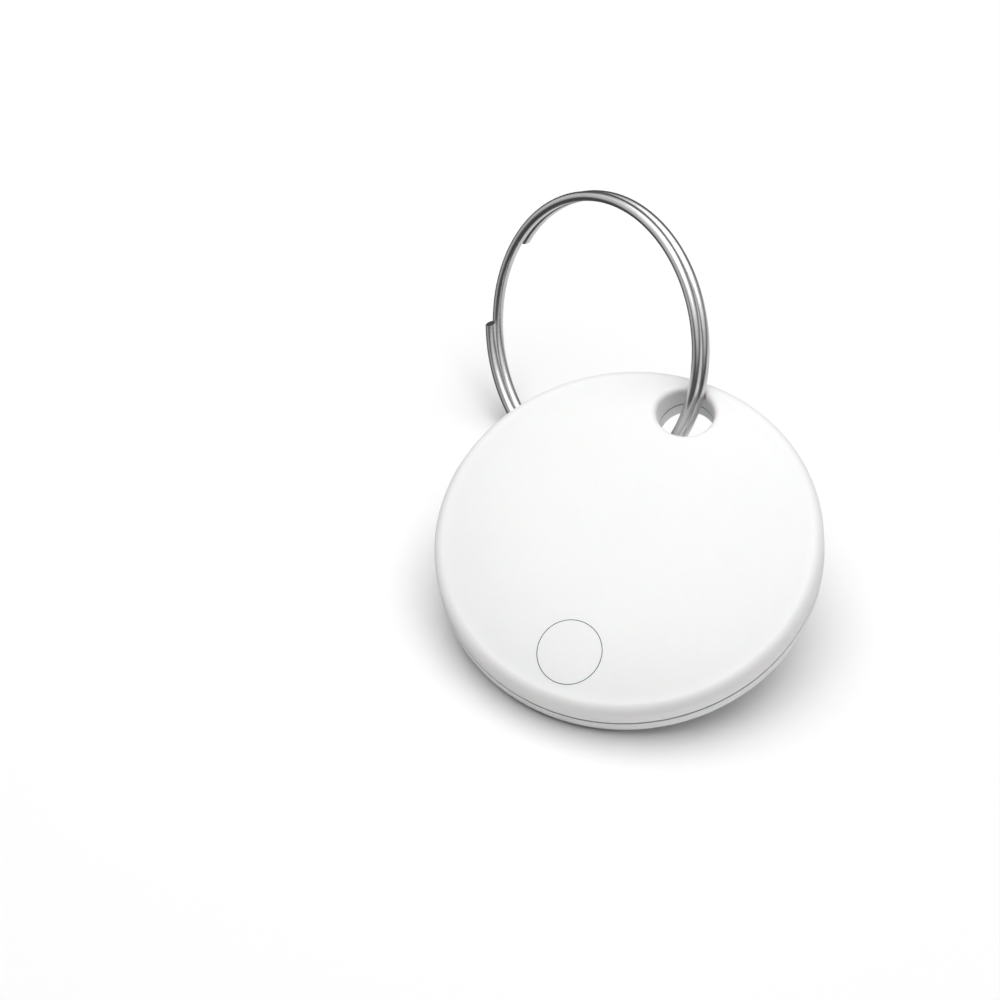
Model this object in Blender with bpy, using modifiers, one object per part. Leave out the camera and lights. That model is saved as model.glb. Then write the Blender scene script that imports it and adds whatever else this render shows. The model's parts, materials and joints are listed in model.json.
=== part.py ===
"""Round Bluetooth tracker tag on a split key ring, built as separate pieces.

The tag is drawn flat in its own frame: the back's flat face is at z = 0, the key hole lies
towards +Y and the button towards -Y.  That frame then leans back about X, as the tag rests
on a table with its key ring holding the hole's side up.  Lengths are metres.
"""

import math

import bmesh
import bpy
from mathutils import Matrix, Vector

MM = 0.001
LEAN = math.radians(18.9)

# Housing
DISC_R = 19.0 * MM
FACE_TOP = 6.88 * MM
DOME_SAG = 2.02 * MM
DOME_POWER = 2.75
TOP_FILLET = 1.17 * MM
DOME_R = DISC_R - TOP_FILLET
SEAM_Z = 2.32 * MM
SEAM_GAP = 0.26 * MM
WALL = 1.0 * MM
FRONT_WALL_R = 17.8 * MM
BACK_FLAT_R = 10.0 * MM
BACK_FALL = 0.12 * MM
BACK_EDGE_R = 0.72 * MM
BACK_EDGE_H = 1.70 * MM
SPIGOT_IN_R = 16.3 * MM
SPIGOT_OUT_R = 17.0 * MM
SPIGOT_TOP = 3.6 * MM
WELL_IN_R = 10.25 * MM
WELL_OUT_R = 10.75 * MM

# Key hole
HOLE_Y = 14.44 * MM
HOLE_R = 2.82 * MM
# Each lip's radius, what is added to it where the key ring leans on it, that place and its half width
HOLE_FRONT_LIP = (0.72 * MM, 0.20 * MM, 82.0, 45.0)
HOLE_BACK_LIP = (0.70 * MM, 0.72 * MM, -128.0, 32.0)
COLLAR_R = 3.62 * MM
COLLAR_ROOM = 0.28 * MM

# Button and its switch
BUTTON_Y = -13.98 * MM
BUTTON_R = 3.08 * MM
BUTTON_GAP = 0.16 * MM
LUG_Z = (3.98 * MM, 4.36 * MM)
LUG_LENGTH = 8.0 * MM
LUG_WIDTH = 1.6 * MM
POST_R = 0.9 * MM
POST_BOTTOM = 3.68 * MM

# Circuit board
BOARD_Z = (1.90 * MM, 2.70 * MM)
BOARD_IN_R = 10.85 * MM
BOARD_OUT_R = 15.9 * MM
BOARD_NOTCH_R = 4.2 * MM
CHIP_Z = BOARD_Z[1] + 0.02 * MM
SCREW_X = 13.3 * MM

# Coin cell, 20 mm across and 3.2 mm thick
CELL_R = 10.0 * MM
CELL_BOTTOM = 1.15 * MM
CELL_TOP = 4.35 * MM

# Sounder
SOUNDER_R = 9.9 * MM
SOUNDER_BOTTOM = 4.90 * MM
SEAT_BOTTOM = 5.30 * MM

# Split key ring: how it threads the hole, as seen in the tag's own frame
WIRE_R = 0.5 * MM
RING_R = 14.33 * MM
COIL_STEP = 1.02 * MM
RING_PIVOT = Vector((-0.15 * MM, HOLE_Y + 0.45 * MM, 3.15 * MM))
RING_LEAN = math.radians(38.0)
RING_LEAN_AZIMUTH = math.radians(72.7)
RING_ROLL = math.radians(-12.0)
RING_END_INNER = math.radians(170.7)
RING_END_OUTER = math.radians(208.2)
RING_STEP = math.radians(6.0)

SHELL_STEPS = 56
DISC_STEPS = 40
SMALL_STEPS = 20

parts = None
cutters = None
tag = None


def clear_scene():
    for item in list(bpy.data.objects):
        bpy.data.objects.remove(item, do_unlink=True)


def new_collection(name):
    made = bpy.data.collections.new(name)
    bpy.context.scene.collection.children.link(made)
    return made


def material(name, colour, roughness, metallic=0.0):
    made = bpy.data.materials.new(name)
    made.use_nodes = True
    shader = made.node_tree.nodes["Principled BSDF"]
    shader.inputs["Base Color"].default_value = (*colour, 1.0)
    shader.inputs["Roughness"].default_value = roughness
    shader.inputs["Metallic"].default_value = metallic
    made.diffuse_color = (*colour, 1.0)
    return made


def add(name, data, finish=None, parent=None):
    """Puts a piece in the parts collection, or a cutter in the other one when it has no finish."""
    made = bpy.data.objects.new(name, data)
    made.parent = parent or tag
    if finish:
        data.materials.append(finish)
        parts.objects.link(made)
    else:
        cutters.objects.link(made)
        made.hide_render = True
        made.display_type = "WIRE"
    return made


def turned(name, outline, finish=None, steps=DISC_STEPS, closed=False):
    """Turns an (r, z) outline about Z. It runs down the outer side, from top to bottom."""
    mesh = bpy.data.meshes.new(name)
    edges = [(i, i + 1) for i in range(len(outline) - 1)]
    if closed:
        edges.append((len(outline) - 1, 0))
    mesh.from_pydata([(r, 0.0, z) for r, z in outline], edges, [])
    made = add(name, mesh, finish)
    screw = made.modifiers.new("turn", "SCREW")
    screw.axis = "Z"
    screw.steps = steps
    screw.render_steps = steps
    screw.use_merge_vertices = True
    screw.merge_threshold = 0.000001
    return made


def washer(name, r_in, r_out, z_low, z_high, finish=None, steps=DISC_STEPS):
    outline = [(r_in, z_high), (r_out, z_high), (r_out, z_low), (r_in, z_low)]
    return turned(name, outline, finish, steps, closed=True)


def rod(name, r, z_low, z_high, finish=None, steps=SMALL_STEPS):
    return turned(name, [(0.0, z_high), (r, z_high), (r, z_low), (0.0, z_low)], finish, steps)


def block(name, size, finish=None, bevel=0.0):
    """A box standing on its own origin."""
    shape = bmesh.new()
    bmesh.ops.create_cube(shape, size=1.0)
    bmesh.ops.scale(shape, vec=size, verts=shape.verts)
    bmesh.ops.translate(shape, vec=(0.0, 0.0, size[2] / 2), verts=shape.verts)
    mesh = bpy.data.meshes.new(name)
    shape.to_mesh(mesh)
    shape.free()
    made = add(name, mesh, finish)
    if bevel:
        edge = made.modifiers.new("edge", "BEVEL")
        edge.width = bevel
        edge.segments = 1
    return made


def boolean(target, tool, operation):
    step = target.modifiers.new(tool.name, "BOOLEAN")
    step.operation = operation
    step.object = tool
    step.solver = "EXACT"


def polar(angle_deg, radius, z):
    """A place in the tag's frame, with the angle counted from +X."""
    angle = math.radians(angle_deg)
    return Vector((radius * math.cos(angle), radius * math.sin(angle), z))


def arc(centre, radii, start_deg, end_deg, steps):
    """Points of an elliptical arc in the (r, z) plane."""
    points = []
    for i in range(steps + 1):
        angle = math.radians(start_deg + (end_deg - start_deg) * i / steps)
        points.append((centre[0] + radii[0] * math.cos(angle), centre[1] + radii[1] * math.sin(angle)))
    return points


def face_z(r):
    """Height of the domed front face at a distance r from the disc's axis."""
    return FACE_TOP - DOME_SAG * (min(r, DOME_R) / DOME_R) ** DOME_POWER


def face_outline(r_end, drop, steps):
    """The front face's curve from the axis out to r_end, lowered by drop."""
    return [(r_end * i / steps, face_z(r_end * i / steps) - drop) for i in range(steps + 1)]


# Housing


def front_outer_outline(z_low):
    shoulder = (DOME_R, face_z(DOME_R) - TOP_FILLET)
    edge = arc(shoulder, (TOP_FILLET, TOP_FILLET), 90.0, 0.0, 4)
    return face_outline(DOME_R, 0.0, 6)[:-1] + edge + [(DISC_R, z_low)]


def front_surface(r):
    """Height of the front's outer surface, with the rounded edge beyond the dome."""
    over = min(max(r - DOME_R, 0.0), TOP_FILLET)
    return face_z(r) - TOP_FILLET + math.sqrt(TOP_FILLET**2 - over**2)


def back_surface(r):
    """Height of the back's outer surface: flat, then a slight fall, then the rounded edge."""
    slope_end = DISC_R - BACK_EDGE_R
    fall = BACK_FALL * min(max((r - BACK_FLAT_R) / (slope_end - BACK_FLAT_R), 0.0), 1.0)
    over = min(max(r - slope_end, 0.0) / BACK_EDGE_R, 1.0)
    return fall + BACK_EDGE_H * (1.0 - math.sqrt(1.0 - over**2))


def lip_size(least, relief, relief_deg, half_width_deg, azimuth_deg):
    """A lip's radius at an azimuth in degrees about the hole, counted from +X."""
    away = abs((azimuth_deg - relief_deg + 180.0) % 360.0 - 180.0)
    return least + relief * (1 + math.cos(math.pi * min(away / half_width_deg, 1.0))) / 2


def lip_outline(size, steps=4, end_deg=75.0):
    """A rounded lip as (radius, depth below the surface), from the bore outwards."""
    lip = []
    for i in range(steps + 1):
        angle = math.radians(end_deg * i / steps)
        lip.append((HOLE_R + size * (1 - math.cos(angle)), size * (1 - math.sin(angle))))
    run_out = 0.5 * MM
    wide = lip[-1][0] + run_out
    lip.append((wide, lip[-1][1] - run_out * math.tan(math.radians(90.0 - end_deg))))
    lip.append((wide, -1 * MM))
    return lip


def key_hole_cutter(steps=32):
    """The bore with a rounded lip at each mouth, each lip following its own outer surface."""
    shape = bmesh.new()
    columns = []
    for j in range(steps):
        azimuth = 360.0 * j / steps
        across, along = math.cos(math.radians(azimuth)), math.sin(math.radians(azimuth))
        column = []
        for r, depth in reversed(lip_outline(lip_size(*HOLE_BACK_LIP, azimuth))):
            x, y = r * across, HOLE_Y + r * along
            column.append(shape.verts.new((x, y, back_surface(math.hypot(x, y)) + depth)))
        for r, depth in lip_outline(lip_size(*HOLE_FRONT_LIP, azimuth)):
            x, y = r * across, HOLE_Y + r * along
            column.append(shape.verts.new((x, y, front_surface(math.hypot(x, y)) - depth)))
        columns.append(column)
    loops = list(zip(*columns))
    for below, above in zip(loops, loops[1:]):
        for j in range(steps):
            k = (j + 1) % steps
            shape.faces.new((below[j], below[k], above[k], above[j]))
    shape.faces.new(loops[0][::-1])
    shape.faces.new(loops[-1])
    mesh = bpy.data.meshes.new("key_hole")
    shape.to_mesh(mesh)
    shape.free()
    return add("key_hole", mesh)


def front_shell(finish, hole):
    z_low = SEAM_Z + SEAM_GAP / 2
    roof = face_outline(FRONT_WALL_R - 0.3 * MM, WALL, 5)
    inner = [(FRONT_WALL_R, z_low), (FRONT_WALL_R, roof[-1][1] - 0.3 * MM)] + roof[::-1]
    shell = turned("front_shell", front_outer_outline(z_low) + inner, finish, SHELL_STEPS)
    seat = washer("sounder_seat", 9.2 * MM, 10.2 * MM, SEAT_BOTTOM, 6.0 * MM, steps=SHELL_STEPS)
    boolean(shell, seat, "UNION")
    collar = rod("front_collar", COLLAR_R, z_low, 5.2 * MM, steps=32)
    collar.location.y = HOLE_Y
    boolean(shell, collar, "UNION")
    for side, x in (("left", -SCREW_X), ("right", SCREW_X)):
        boss = rod("boss_" + side, 1.3 * MM, BOARD_Z[1] + 0.03 * MM, 5.4 * MM)
        boss.location.x = x
        boolean(shell, boss, "UNION")
        pilot = rod("pilot_" + side, 0.46 * MM, 2.2 * MM, 4.6 * MM, steps=12)
        pilot.location.x = x
        boolean(shell, pilot, "DIFFERENCE")
    opening = rod("button_opening", BUTTON_R + BUTTON_GAP, 3.8 * MM, 9 * MM, steps=40)
    opening.location.y = BUTTON_Y
    boolean(shell, opening, "DIFFERENCE")
    boolean(shell, hole, "DIFFERENCE")


def back_cover(finish, hole):
    z_top = SEAM_Z - SEAM_GAP / 2
    edge_z = BACK_FALL + BACK_EDGE_H
    edge = arc((DISC_R - BACK_EDGE_R, edge_z), (BACK_EDGE_R, BACK_EDGE_H), 0.0, -90.0, 4)
    well_top = BOARD_Z[0] - 0.04 * MM
    outline = [(0.0, WALL), (WELL_IN_R, WALL), (WELL_IN_R, well_top), (WELL_OUT_R, well_top)]
    outline += [(WELL_OUT_R, WALL), (SPIGOT_IN_R, WALL), (SPIGOT_IN_R, SPIGOT_TOP)]
    outline += [(SPIGOT_OUT_R, SPIGOT_TOP), (SPIGOT_OUT_R, z_top), (DISC_R, z_top)]
    outline += edge + [(BACK_FLAT_R, 0.0), (0.0, 0.0)]
    cover = turned("back_cover", outline, finish, SHELL_STEPS)
    notch = rod("spigot_notch", COLLAR_R + COLLAR_ROOM, z_top - 0.05 * MM, 5 * MM, steps=32)
    notch.location.y = HOLE_Y
    boolean(cover, notch, "DIFFERENCE")
    collar = rod("back_collar", COLLAR_R, WALL / 2, z_top, steps=32)
    collar.location.y = HOLE_Y
    boolean(cover, collar, "UNION")
    boolean(cover, hole, "DIFFERENCE")


def seals(finish):
    """The ring between spigot and front wall, open at the key hole, and the key hole's own gasket."""
    curve = bpy.data.curves.new("cover_seal", "CURVE")
    curve.dimensions = "3D"
    curve.bevel_depth = 0.22 * MM
    curve.bevel_resolution = 2
    curve.use_fill_caps = True
    line = curve.splines.new("POLY")
    steps = 48
    clear_deg = 10.5
    line.points.add(steps)
    for i, point in enumerate(line.points):
        angle = 90.0 + clear_deg + (360.0 - 2 * clear_deg) * i / steps
        place = polar(angle, (SPIGOT_OUT_R + FRONT_WALL_R) / 2, 2.95 * MM)
        point.co = (*place, 1.0)
    add("cover_seal", curve, finish)
    margin = 0.05 * MM
    low = SEAM_Z - SEAM_GAP / 2 + margin
    high = SEAM_Z + SEAM_GAP / 2 - margin
    gasket = washer("key_hole_gasket", HOLE_R + 0.15 * MM, COLLAR_R - 0.1 * MM, low, high, finish, 32)
    gasket.location.y = HOLE_Y


# Button


def button(finish):
    """The cap is cut from the same dome as the front face, so its top lies flush in it."""
    cap = rod("button_cap", BUTTON_R, LUG_Z[0], 8 * MM, finish, 40)
    cap.location.y = BUTTON_Y
    dome = turned("button_dome", front_outer_outline(1 * MM) + [(0.0, 1 * MM)], steps=SHELL_STEPS)
    boolean(cap, dome, "INTERSECT")
    lugs = block("button_lugs", (LUG_LENGTH, LUG_WIDTH, LUG_Z[1] - LUG_Z[0]))
    lugs.location = (0.0, BUTTON_Y, LUG_Z[0] - 0.05 * MM)
    boolean(cap, lugs, "UNION")
    post = rod("button_post", POST_R, POST_BOTTOM, LUG_Z[1])
    post.location.y = BUTTON_Y
    boolean(cap, post, "UNION")


def switch(plastic, metal, rubber):
    """A low tactile switch: base, snap dome, plunger and cover plate."""
    at = Vector((0.0, BUTTON_Y, 0.0))
    base = block("switch_base", (3.0 * MM, 2.6 * MM, 0.60 * MM), plastic)
    base.location = at + Vector((0.0, 0.0, BOARD_Z[1]))
    base.location.z += 0.02 * MM
    recess = rod("switch_recess", 0.98 * MM, 2.82 * MM, 4 * MM)
    recess.location = at
    boolean(base, recess, "DIFFERENCE")
    lower = [(0.90 * i / 5 * MM, (2.84 + 0.14 * (1 - (i / 5) ** 2)) * MM) for i in range(6)]
    upper = [(r, z + 0.05 * MM) for r, z in lower]
    dome = turned("switch_dome", upper + lower[::-1], metal, SMALL_STEPS)
    dome.location = at
    outline = [(0.0, 3.66), (0.55, 3.66), (0.55, 3.20), (0.85, 3.20), (0.85, 3.06), (0.0, 3.06)]
    plunger = turned("switch_plunger", [(r * MM, z * MM) for r, z in outline], rubber, SMALL_STEPS)
    plunger.location = at
    cover = block("switch_cover", (3.0 * MM, 2.6 * MM, 0.06 * MM), metal)
    cover.location = at + Vector((0.0, 0.0, 3.34 * MM))
    window = rod("switch_window", 0.70 * MM, 3 * MM, 4 * MM)
    window.location = at
    boolean(cover, window, "DIFFERENCE")


# Electronics


def circuit_board(finish):
    board = washer("circuit_board", BOARD_IN_R, BOARD_OUT_R, *BOARD_Z, finish, SHELL_STEPS)
    notch = rod("board_notch", BOARD_NOTCH_R, 1 * MM, 4 * MM, steps=32)
    notch.location.y = HOLE_Y
    boolean(board, notch, "DIFFERENCE")
    for side, x in (("left", -SCREW_X), ("right", SCREW_X)):
        hole = rod("board_hole_" + side, 0.55 * MM, 1 * MM, 4 * MM, steps=12)
        hole.location.x = x
        boolean(board, hole, "DIFFERENCE")


def board_screws(finish):
    head_bottom = 1.36 * MM
    head_top = BOARD_Z[0] - 0.03 * MM
    outline = [(0.0, 4.3 * MM), (0.25 * MM, 4.3 * MM), (0.40 * MM, 4.1 * MM), (0.40 * MM, head_top)]
    outline += [(0.95 * MM, head_top), (0.95 * MM, head_bottom + 0.15 * MM)]
    outline += [(0.75 * MM, head_bottom), (0.0, head_bottom)]
    for side, x in (("left", -SCREW_X), ("right", SCREW_X)):
        screw = turned("board_screw_" + side, outline, finish, 16)
        screw.location.x = x
        slot = block("slot_" + side, (1.3 * MM, 0.25 * MM, 0.5 * MM))
        slot.location = (x, 0.0, head_bottom - 0.3 * MM)
        boolean(screw, slot, "DIFFERENCE")


def board_parts(black, ceramic, tan, silver):
    """Chips and passives, each (name, size in mm, angle, radius in mm, finish)."""
    chips = (
        ("bluetooth_chip", (4.0, 4.0, 0.85), 217.0, 13.4, black),
        ("sounder_driver_chip", (2.0, 2.0, 0.75), 306.0, 13.2, black),
        ("chip_antenna", (2.0, 6.5, 1.1), 44.0, 13.6, ceramic),
        ("boost_inductor", (2.5, 2.0, 1.2), 323.0, 13.4, black),
        ("main_crystal", (2.0, 1.6, 0.5), 238.0, 13.6, silver),
        ("clock_crystal", (3.2, 1.5, 0.8), 194.5, 13.4, silver),
        ("antenna_capacitor", (1.0, 0.5, 0.5), 63.0, 12.4, tan),
        ("supply_capacitor", (2.0, 1.25, 1.2), 341.0, 13.4, tan),
        ("chip_capacitor", (1.0, 0.5, 0.5), 200.5, 15.0, tan),
        ("crystal_capacitor", (1.0, 0.5, 0.5), 246.5, 13.6, tan),
        ("button_resistor", (1.0, 0.5, 0.4), 291.0, 12.4, black),
        ("sounder_resistor", (1.0, 0.5, 0.4), 313.5, 15.0, black),
    )
    for name, size, angle, radius, finish in chips:
        chip = block(name, [s * MM for s in size], finish, bevel=0.05 * MM)
        chip.location = polar(angle, radius * MM, CHIP_Z)
        chip.rotation_euler.z = math.radians(angle)


def ribbon(name, path, width, angle_deg, thickness, finish):
    """A bent metal strip. Its path is (distance from the disc's axis, height) at one angle."""
    shape = bmesh.new()
    rails = []
    for y in (-width / 2, width / 2):
        rails.append([shape.verts.new((r, y, z)) for r, z in path])
    for i in range(len(path) - 1):
        shape.faces.new((rails[0][i], rails[0][i + 1], rails[1][i + 1], rails[1][i]))
    mesh = bpy.data.meshes.new(name)
    shape.to_mesh(mesh)
    shape.free()
    made = add(name, mesh, finish)
    made.rotation_euler.z = math.radians(angle_deg)
    sheet = made.modifiers.new("sheet", "SOLIDIFY")
    sheet.thickness = thickness
    sheet.offset = 0.0
    return made


def contacts(finish):
    """Spring strips soldered to the board: two for the coin cell, two for the sounder."""
    foot = 2.81
    sheet = 0.12 * MM
    strips = (
        ("cell_negative_contact", 3.0, 163.0,
         [(14.2, foot), (11.2, foot), (10.6, 3.4), (10.4, 4.3), (9.9, 4.58), (5.0, 4.58), (2.5, 4.47),
          (1.2, 4.60)]),
        ("cell_positive_contact", 4.0, 17.0,
         [(13.4, foot), (11.1, foot), (10.55, 3.1), (10.16, 3.6), (10.5, 4.2)]),
        ("sounder_plate_contact", 1.2, 122.0,
         [(13.6, foot), (11.3, foot), (10.5, 3.9), (9.6, 4.60), (9.0, 4.81), (8.4, 4.72)]),
        ("sounder_ceramic_contact", 1.2, 136.0,
         [(13.6, foot), (11.3, foot), (10.6, 3.9), (9.8, 4.46), (6.4, 4.46), (5.8, 4.60), (5.2, 4.50)]),
    )
    for name, width, angle, path in strips:
        points = [(r * MM, z * MM) for r, z in path]
        ribbon(name, points, width * MM, angle, sheet, finish)


def sounder(brass, ceramic, glue):
    top = SOUNDER_BOTTOM + 0.20 * MM
    rod("sounder_plate", SOUNDER_R, SOUNDER_BOTTOM, top, brass, DISC_STEPS)
    washer("sounder_glue_ring", 9.25 * MM, 9.85 * MM, top + 0.03 * MM, SEAT_BOTTOM - 0.03 * MM, glue)
    low, high = SOUNDER_BOTTOM - 0.19 * MM, SOUNDER_BOTTOM - 0.03 * MM
    rod("sounder_ceramic", 7.0 * MM, low, high, ceramic, DISC_STEPS)


def coin_cell(steel, nylon, dark, pale, lithium):
    """Can, gasket and cap, with cathode, separator and anode between them."""
    skin = 0.25 * MM
    z0 = CELL_BOTTOM
    can = [(0.0, z0 + skin), (CELL_R - skin, z0 + skin), (CELL_R - skin, 4.00 * MM)]
    can += [(9.55 * MM, 4.10 * MM), (9.62 * MM, 4.24 * MM), (9.85 * MM, 4.18 * MM), (CELL_R, 4.00 * MM)]
    can += [(CELL_R, z0 + skin), (CELL_R - skin, z0), (0.0, z0)]
    turned("cell_can", can, steel, DISC_STEPS)
    cap_r = 8.95 * MM
    cap = [(0.0, CELL_TOP), (cap_r - 2 * skin, CELL_TOP), (cap_r, CELL_TOP - skin), (cap_r, 2.0 * MM)]
    cap += [(cap_r - skin, 2.0 * MM), (cap_r - skin, CELL_TOP - 2 * skin), (0.0, CELL_TOP - skin)]
    turned("cell_cap", cap, steel, DISC_STEPS)
    gasket_in = cap_r + 0.05 * MM
    gasket_out = CELL_R - skin - 0.05 * MM
    gasket = [(gasket_in, 4.15 * MM), (9.48 * MM, 4.15 * MM), (gasket_out, 3.94 * MM)]
    gasket += [(gasket_out, 1.45 * MM), (8.6 * MM, 1.45 * MM), (8.6 * MM, 1.95 * MM), (gasket_in, 1.95 * MM)]
    turned("cell_gasket", gasket, nylon, DISC_STEPS, closed=True)
    rod("cell_cathode", 8.0 * MM, 1.45 * MM, 2.90 * MM, dark, DISC_STEPS)
    rod("cell_separator", 8.4 * MM, 2.93 * MM, 3.03 * MM, pale, DISC_STEPS)
    rod("cell_anode", 8.0 * MM, 3.06 * MM, 3.80 * MM, lithium, DISC_STEPS)


# Key ring


def ring_offset(angle):
    """How far along the ring's own axis the wire lies: a steady winding from one end to the other."""
    middle = (RING_END_INNER + 4 * math.pi + RING_END_OUTER) / 2
    return COIL_STEP * (middle - angle) / (2 * math.pi)


def key_ring(finish):
    """One wire of almost two turns. It is drawn about the point where it passes through the hole."""
    pivot = bpy.data.objects.new("ring_pivot", None)
    parts.objects.link(pivot)
    pivot.parent = tag
    turn = Matrix.Rotation(RING_LEAN_AZIMUTH + math.pi / 2, 3, "Z")
    turn = turn @ Matrix.Rotation(RING_LEAN, 3, "X") @ Matrix.Rotation(RING_ROLL, 3, "Z")
    pivot.location = RING_PIVOT
    pivot.rotation_euler = turn.to_euler()
    curve = bpy.data.curves.new("key_ring", "CURVE")
    curve.dimensions = "3D"
    curve.bevel_depth = WIRE_R
    curve.bevel_resolution = 2
    curve.use_fill_caps = True
    line = curve.splines.new("POLY")
    sweep = RING_END_INNER + 4 * math.pi - RING_END_OUTER
    steps = round(sweep / RING_STEP)
    line.points.add(steps)
    for i, point in enumerate(line.points):
        angle = RING_END_OUTER + sweep * i / steps
        x = RING_R * (1 - math.cos(angle))
        point.co = (x, ring_offset(angle), RING_R * math.sin(angle), 1.0)
    add("key_ring", curve, finish, pivot)


def main():
    global parts, cutters, tag
    clear_scene()
    parts = new_collection("bluetooth_tracker_tag")
    cutters = new_collection("cutters")
    tag = bpy.data.objects.new("tag_frame", None)
    parts.objects.link(tag)
    tag.rotation_euler.x = LEAN

    white = material("white_plastic", (0.88, 0.88, 0.87), 0.42)
    black = material("black_resin", (0.03, 0.03, 0.035), 0.5)
    grey = material("grey_plastic", (0.16, 0.16, 0.17), 0.5)
    rubber = material("grey_silicone", (0.35, 0.36, 0.37), 0.7)
    steel = material("steel", (0.62, 0.62, 0.61), 0.28, 1.0)
    nickel = material("nickel", (0.70, 0.68, 0.62), 0.3, 1.0)
    brass = material("brass", (0.75, 0.56, 0.25), 0.35, 1.0)
    green = material("solder_mask", (0.02, 0.13, 0.06), 0.4)
    ceramic = material("white_ceramic", (0.82, 0.80, 0.74), 0.5)
    tan = material("capacitor_ceramic", (0.55, 0.40, 0.24), 0.5)
    nylon = material("nylon", (0.72, 0.72, 0.68), 0.5)
    dark = material("manganese_oxide", (0.04, 0.04, 0.04), 0.9)
    pale = material("separator_felt", (0.85, 0.85, 0.82), 0.9)
    lithium = material("lithium", (0.55, 0.55, 0.56), 0.5, 1.0)
    glue = material("adhesive", (0.75, 0.72, 0.60), 0.6)

    hole = key_hole_cutter()
    front_shell(white, hole)
    back_cover(white, hole)
    seals(rubber)
    button(white)
    switch(grey, nickel, rubber)
    circuit_board(green)
    board_screws(steel)
    board_parts(black, ceramic, tan, nickel)
    contacts(nickel)
    sounder(brass, ceramic, glue)
    coin_cell(steel, nylon, dark, pale, lithium)
    key_ring(steel)


main()
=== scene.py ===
"""Looks for the Bluetooth tracker tag: fine shells, button and key ring round the CAD frame."""

import json
import math

import bmesh
import bpy
from mathutils import Matrix, Quaternion, Vector

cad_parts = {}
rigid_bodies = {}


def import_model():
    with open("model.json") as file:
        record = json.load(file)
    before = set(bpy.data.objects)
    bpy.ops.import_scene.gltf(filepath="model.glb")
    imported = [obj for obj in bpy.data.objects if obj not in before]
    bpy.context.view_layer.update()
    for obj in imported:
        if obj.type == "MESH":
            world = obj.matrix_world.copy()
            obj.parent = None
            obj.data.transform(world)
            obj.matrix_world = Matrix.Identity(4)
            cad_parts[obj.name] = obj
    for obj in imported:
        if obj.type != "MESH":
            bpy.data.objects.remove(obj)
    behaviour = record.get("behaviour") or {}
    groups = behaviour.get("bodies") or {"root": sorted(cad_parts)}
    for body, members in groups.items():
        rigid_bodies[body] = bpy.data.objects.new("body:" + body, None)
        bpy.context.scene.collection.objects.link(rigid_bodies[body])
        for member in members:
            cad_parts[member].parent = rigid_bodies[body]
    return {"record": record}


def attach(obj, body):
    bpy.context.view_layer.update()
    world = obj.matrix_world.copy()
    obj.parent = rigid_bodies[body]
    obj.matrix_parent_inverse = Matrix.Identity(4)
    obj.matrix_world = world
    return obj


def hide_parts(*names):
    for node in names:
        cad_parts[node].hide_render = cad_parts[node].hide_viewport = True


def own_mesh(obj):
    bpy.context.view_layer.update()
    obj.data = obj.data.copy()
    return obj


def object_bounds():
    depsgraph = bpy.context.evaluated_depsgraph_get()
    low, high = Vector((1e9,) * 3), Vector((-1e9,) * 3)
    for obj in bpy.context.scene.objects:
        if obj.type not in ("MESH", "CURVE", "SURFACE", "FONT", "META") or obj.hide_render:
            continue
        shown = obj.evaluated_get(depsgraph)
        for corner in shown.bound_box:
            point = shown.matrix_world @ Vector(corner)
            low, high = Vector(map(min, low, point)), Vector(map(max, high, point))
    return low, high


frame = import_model()
cad_low, cad_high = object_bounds()

MM = 0.001
TURN_STEPS = 256
HOLE_STEPS = 128
# Turns a rod's facets away from the shells', so that a Boolean meets no shared planes
ROD_PHASE = 0.37
# How far a cutter reaches past the surface that it cuts
CUT_PAST = 1.0 * MM

# Housing, in the tag's own frame: back face at z = 0, key hole towards +Y
FACE_TOP = 6.88 * MM
DOME_SAG = 2.02 * MM
DOME_POWER = 2.75
TOP_FILLET = 1.17 * MM
SEAM_Z = 2.32 * MM
SEAM_GAP = 0.25 * MM
SEAM_ROUND = 0.04 * MM
WALL = 1.0 * MM
FRONT_WALL_R = 17.8 * MM
ROOF_CORNER = 0.3 * MM
BACK_FLAT_R = 10.0 * MM
BACK_FALL = 0.12 * MM
BACK_EDGE_R = 0.72 * MM
BACK_EDGE_H = 1.70 * MM
SPIGOT_IN_R = 16.3 * MM
SPIGOT_OUT_R = 17.0 * MM
SPIGOT_TOP = 3.6 * MM
WELL_IN_R = 10.25 * MM
WELL_OUT_R = 10.75 * MM
WELL_TOP = 1.86 * MM
SOUNDER_SEAT_R = (9.2 * MM, 10.2 * MM)
SOUNDER_SEAT_Z = (5.3 * MM, 6.0 * MM)
BOSS_X = 13.3 * MM
BOSS_R = 1.3 * MM
BOSS_Z = (2.73 * MM, 5.4 * MM)
PILOT_R = 0.46 * MM
PILOT_Z = (2.2 * MM, 4.6 * MM)

# Key hole
HOLE_Y = 14.44 * MM
HOLE_R = 2.82 * MM
# Each lip's least radius, what is added to it where the key ring leans on it, and that place's azimuth
# and half width in degrees about the hole
HOLE_FRONT_LIP = (0.72 * MM, 0.20 * MM, 82.0, 45.0)
HOLE_BACK_LIP = (0.70 * MM, 0.72 * MM, -128.0, 32.0)
# Degrees of arc in each lip's cutter, and how far it then runs straight on
FRONT_LIP_CUT = (84.0, 0.3 * MM)
BACK_LIP_CUT = (75.0, 0.5 * MM)
COLLAR_R = 3.62 * MM
COLLAR_TOP = 5.2 * MM
COLLAR_GAP = 0.18 * MM
NOTCH_R = 3.90 * MM
NOTCH_DEPTH = 0.05 * MM
NOTCH_TOP = 5.0 * MM

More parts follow.
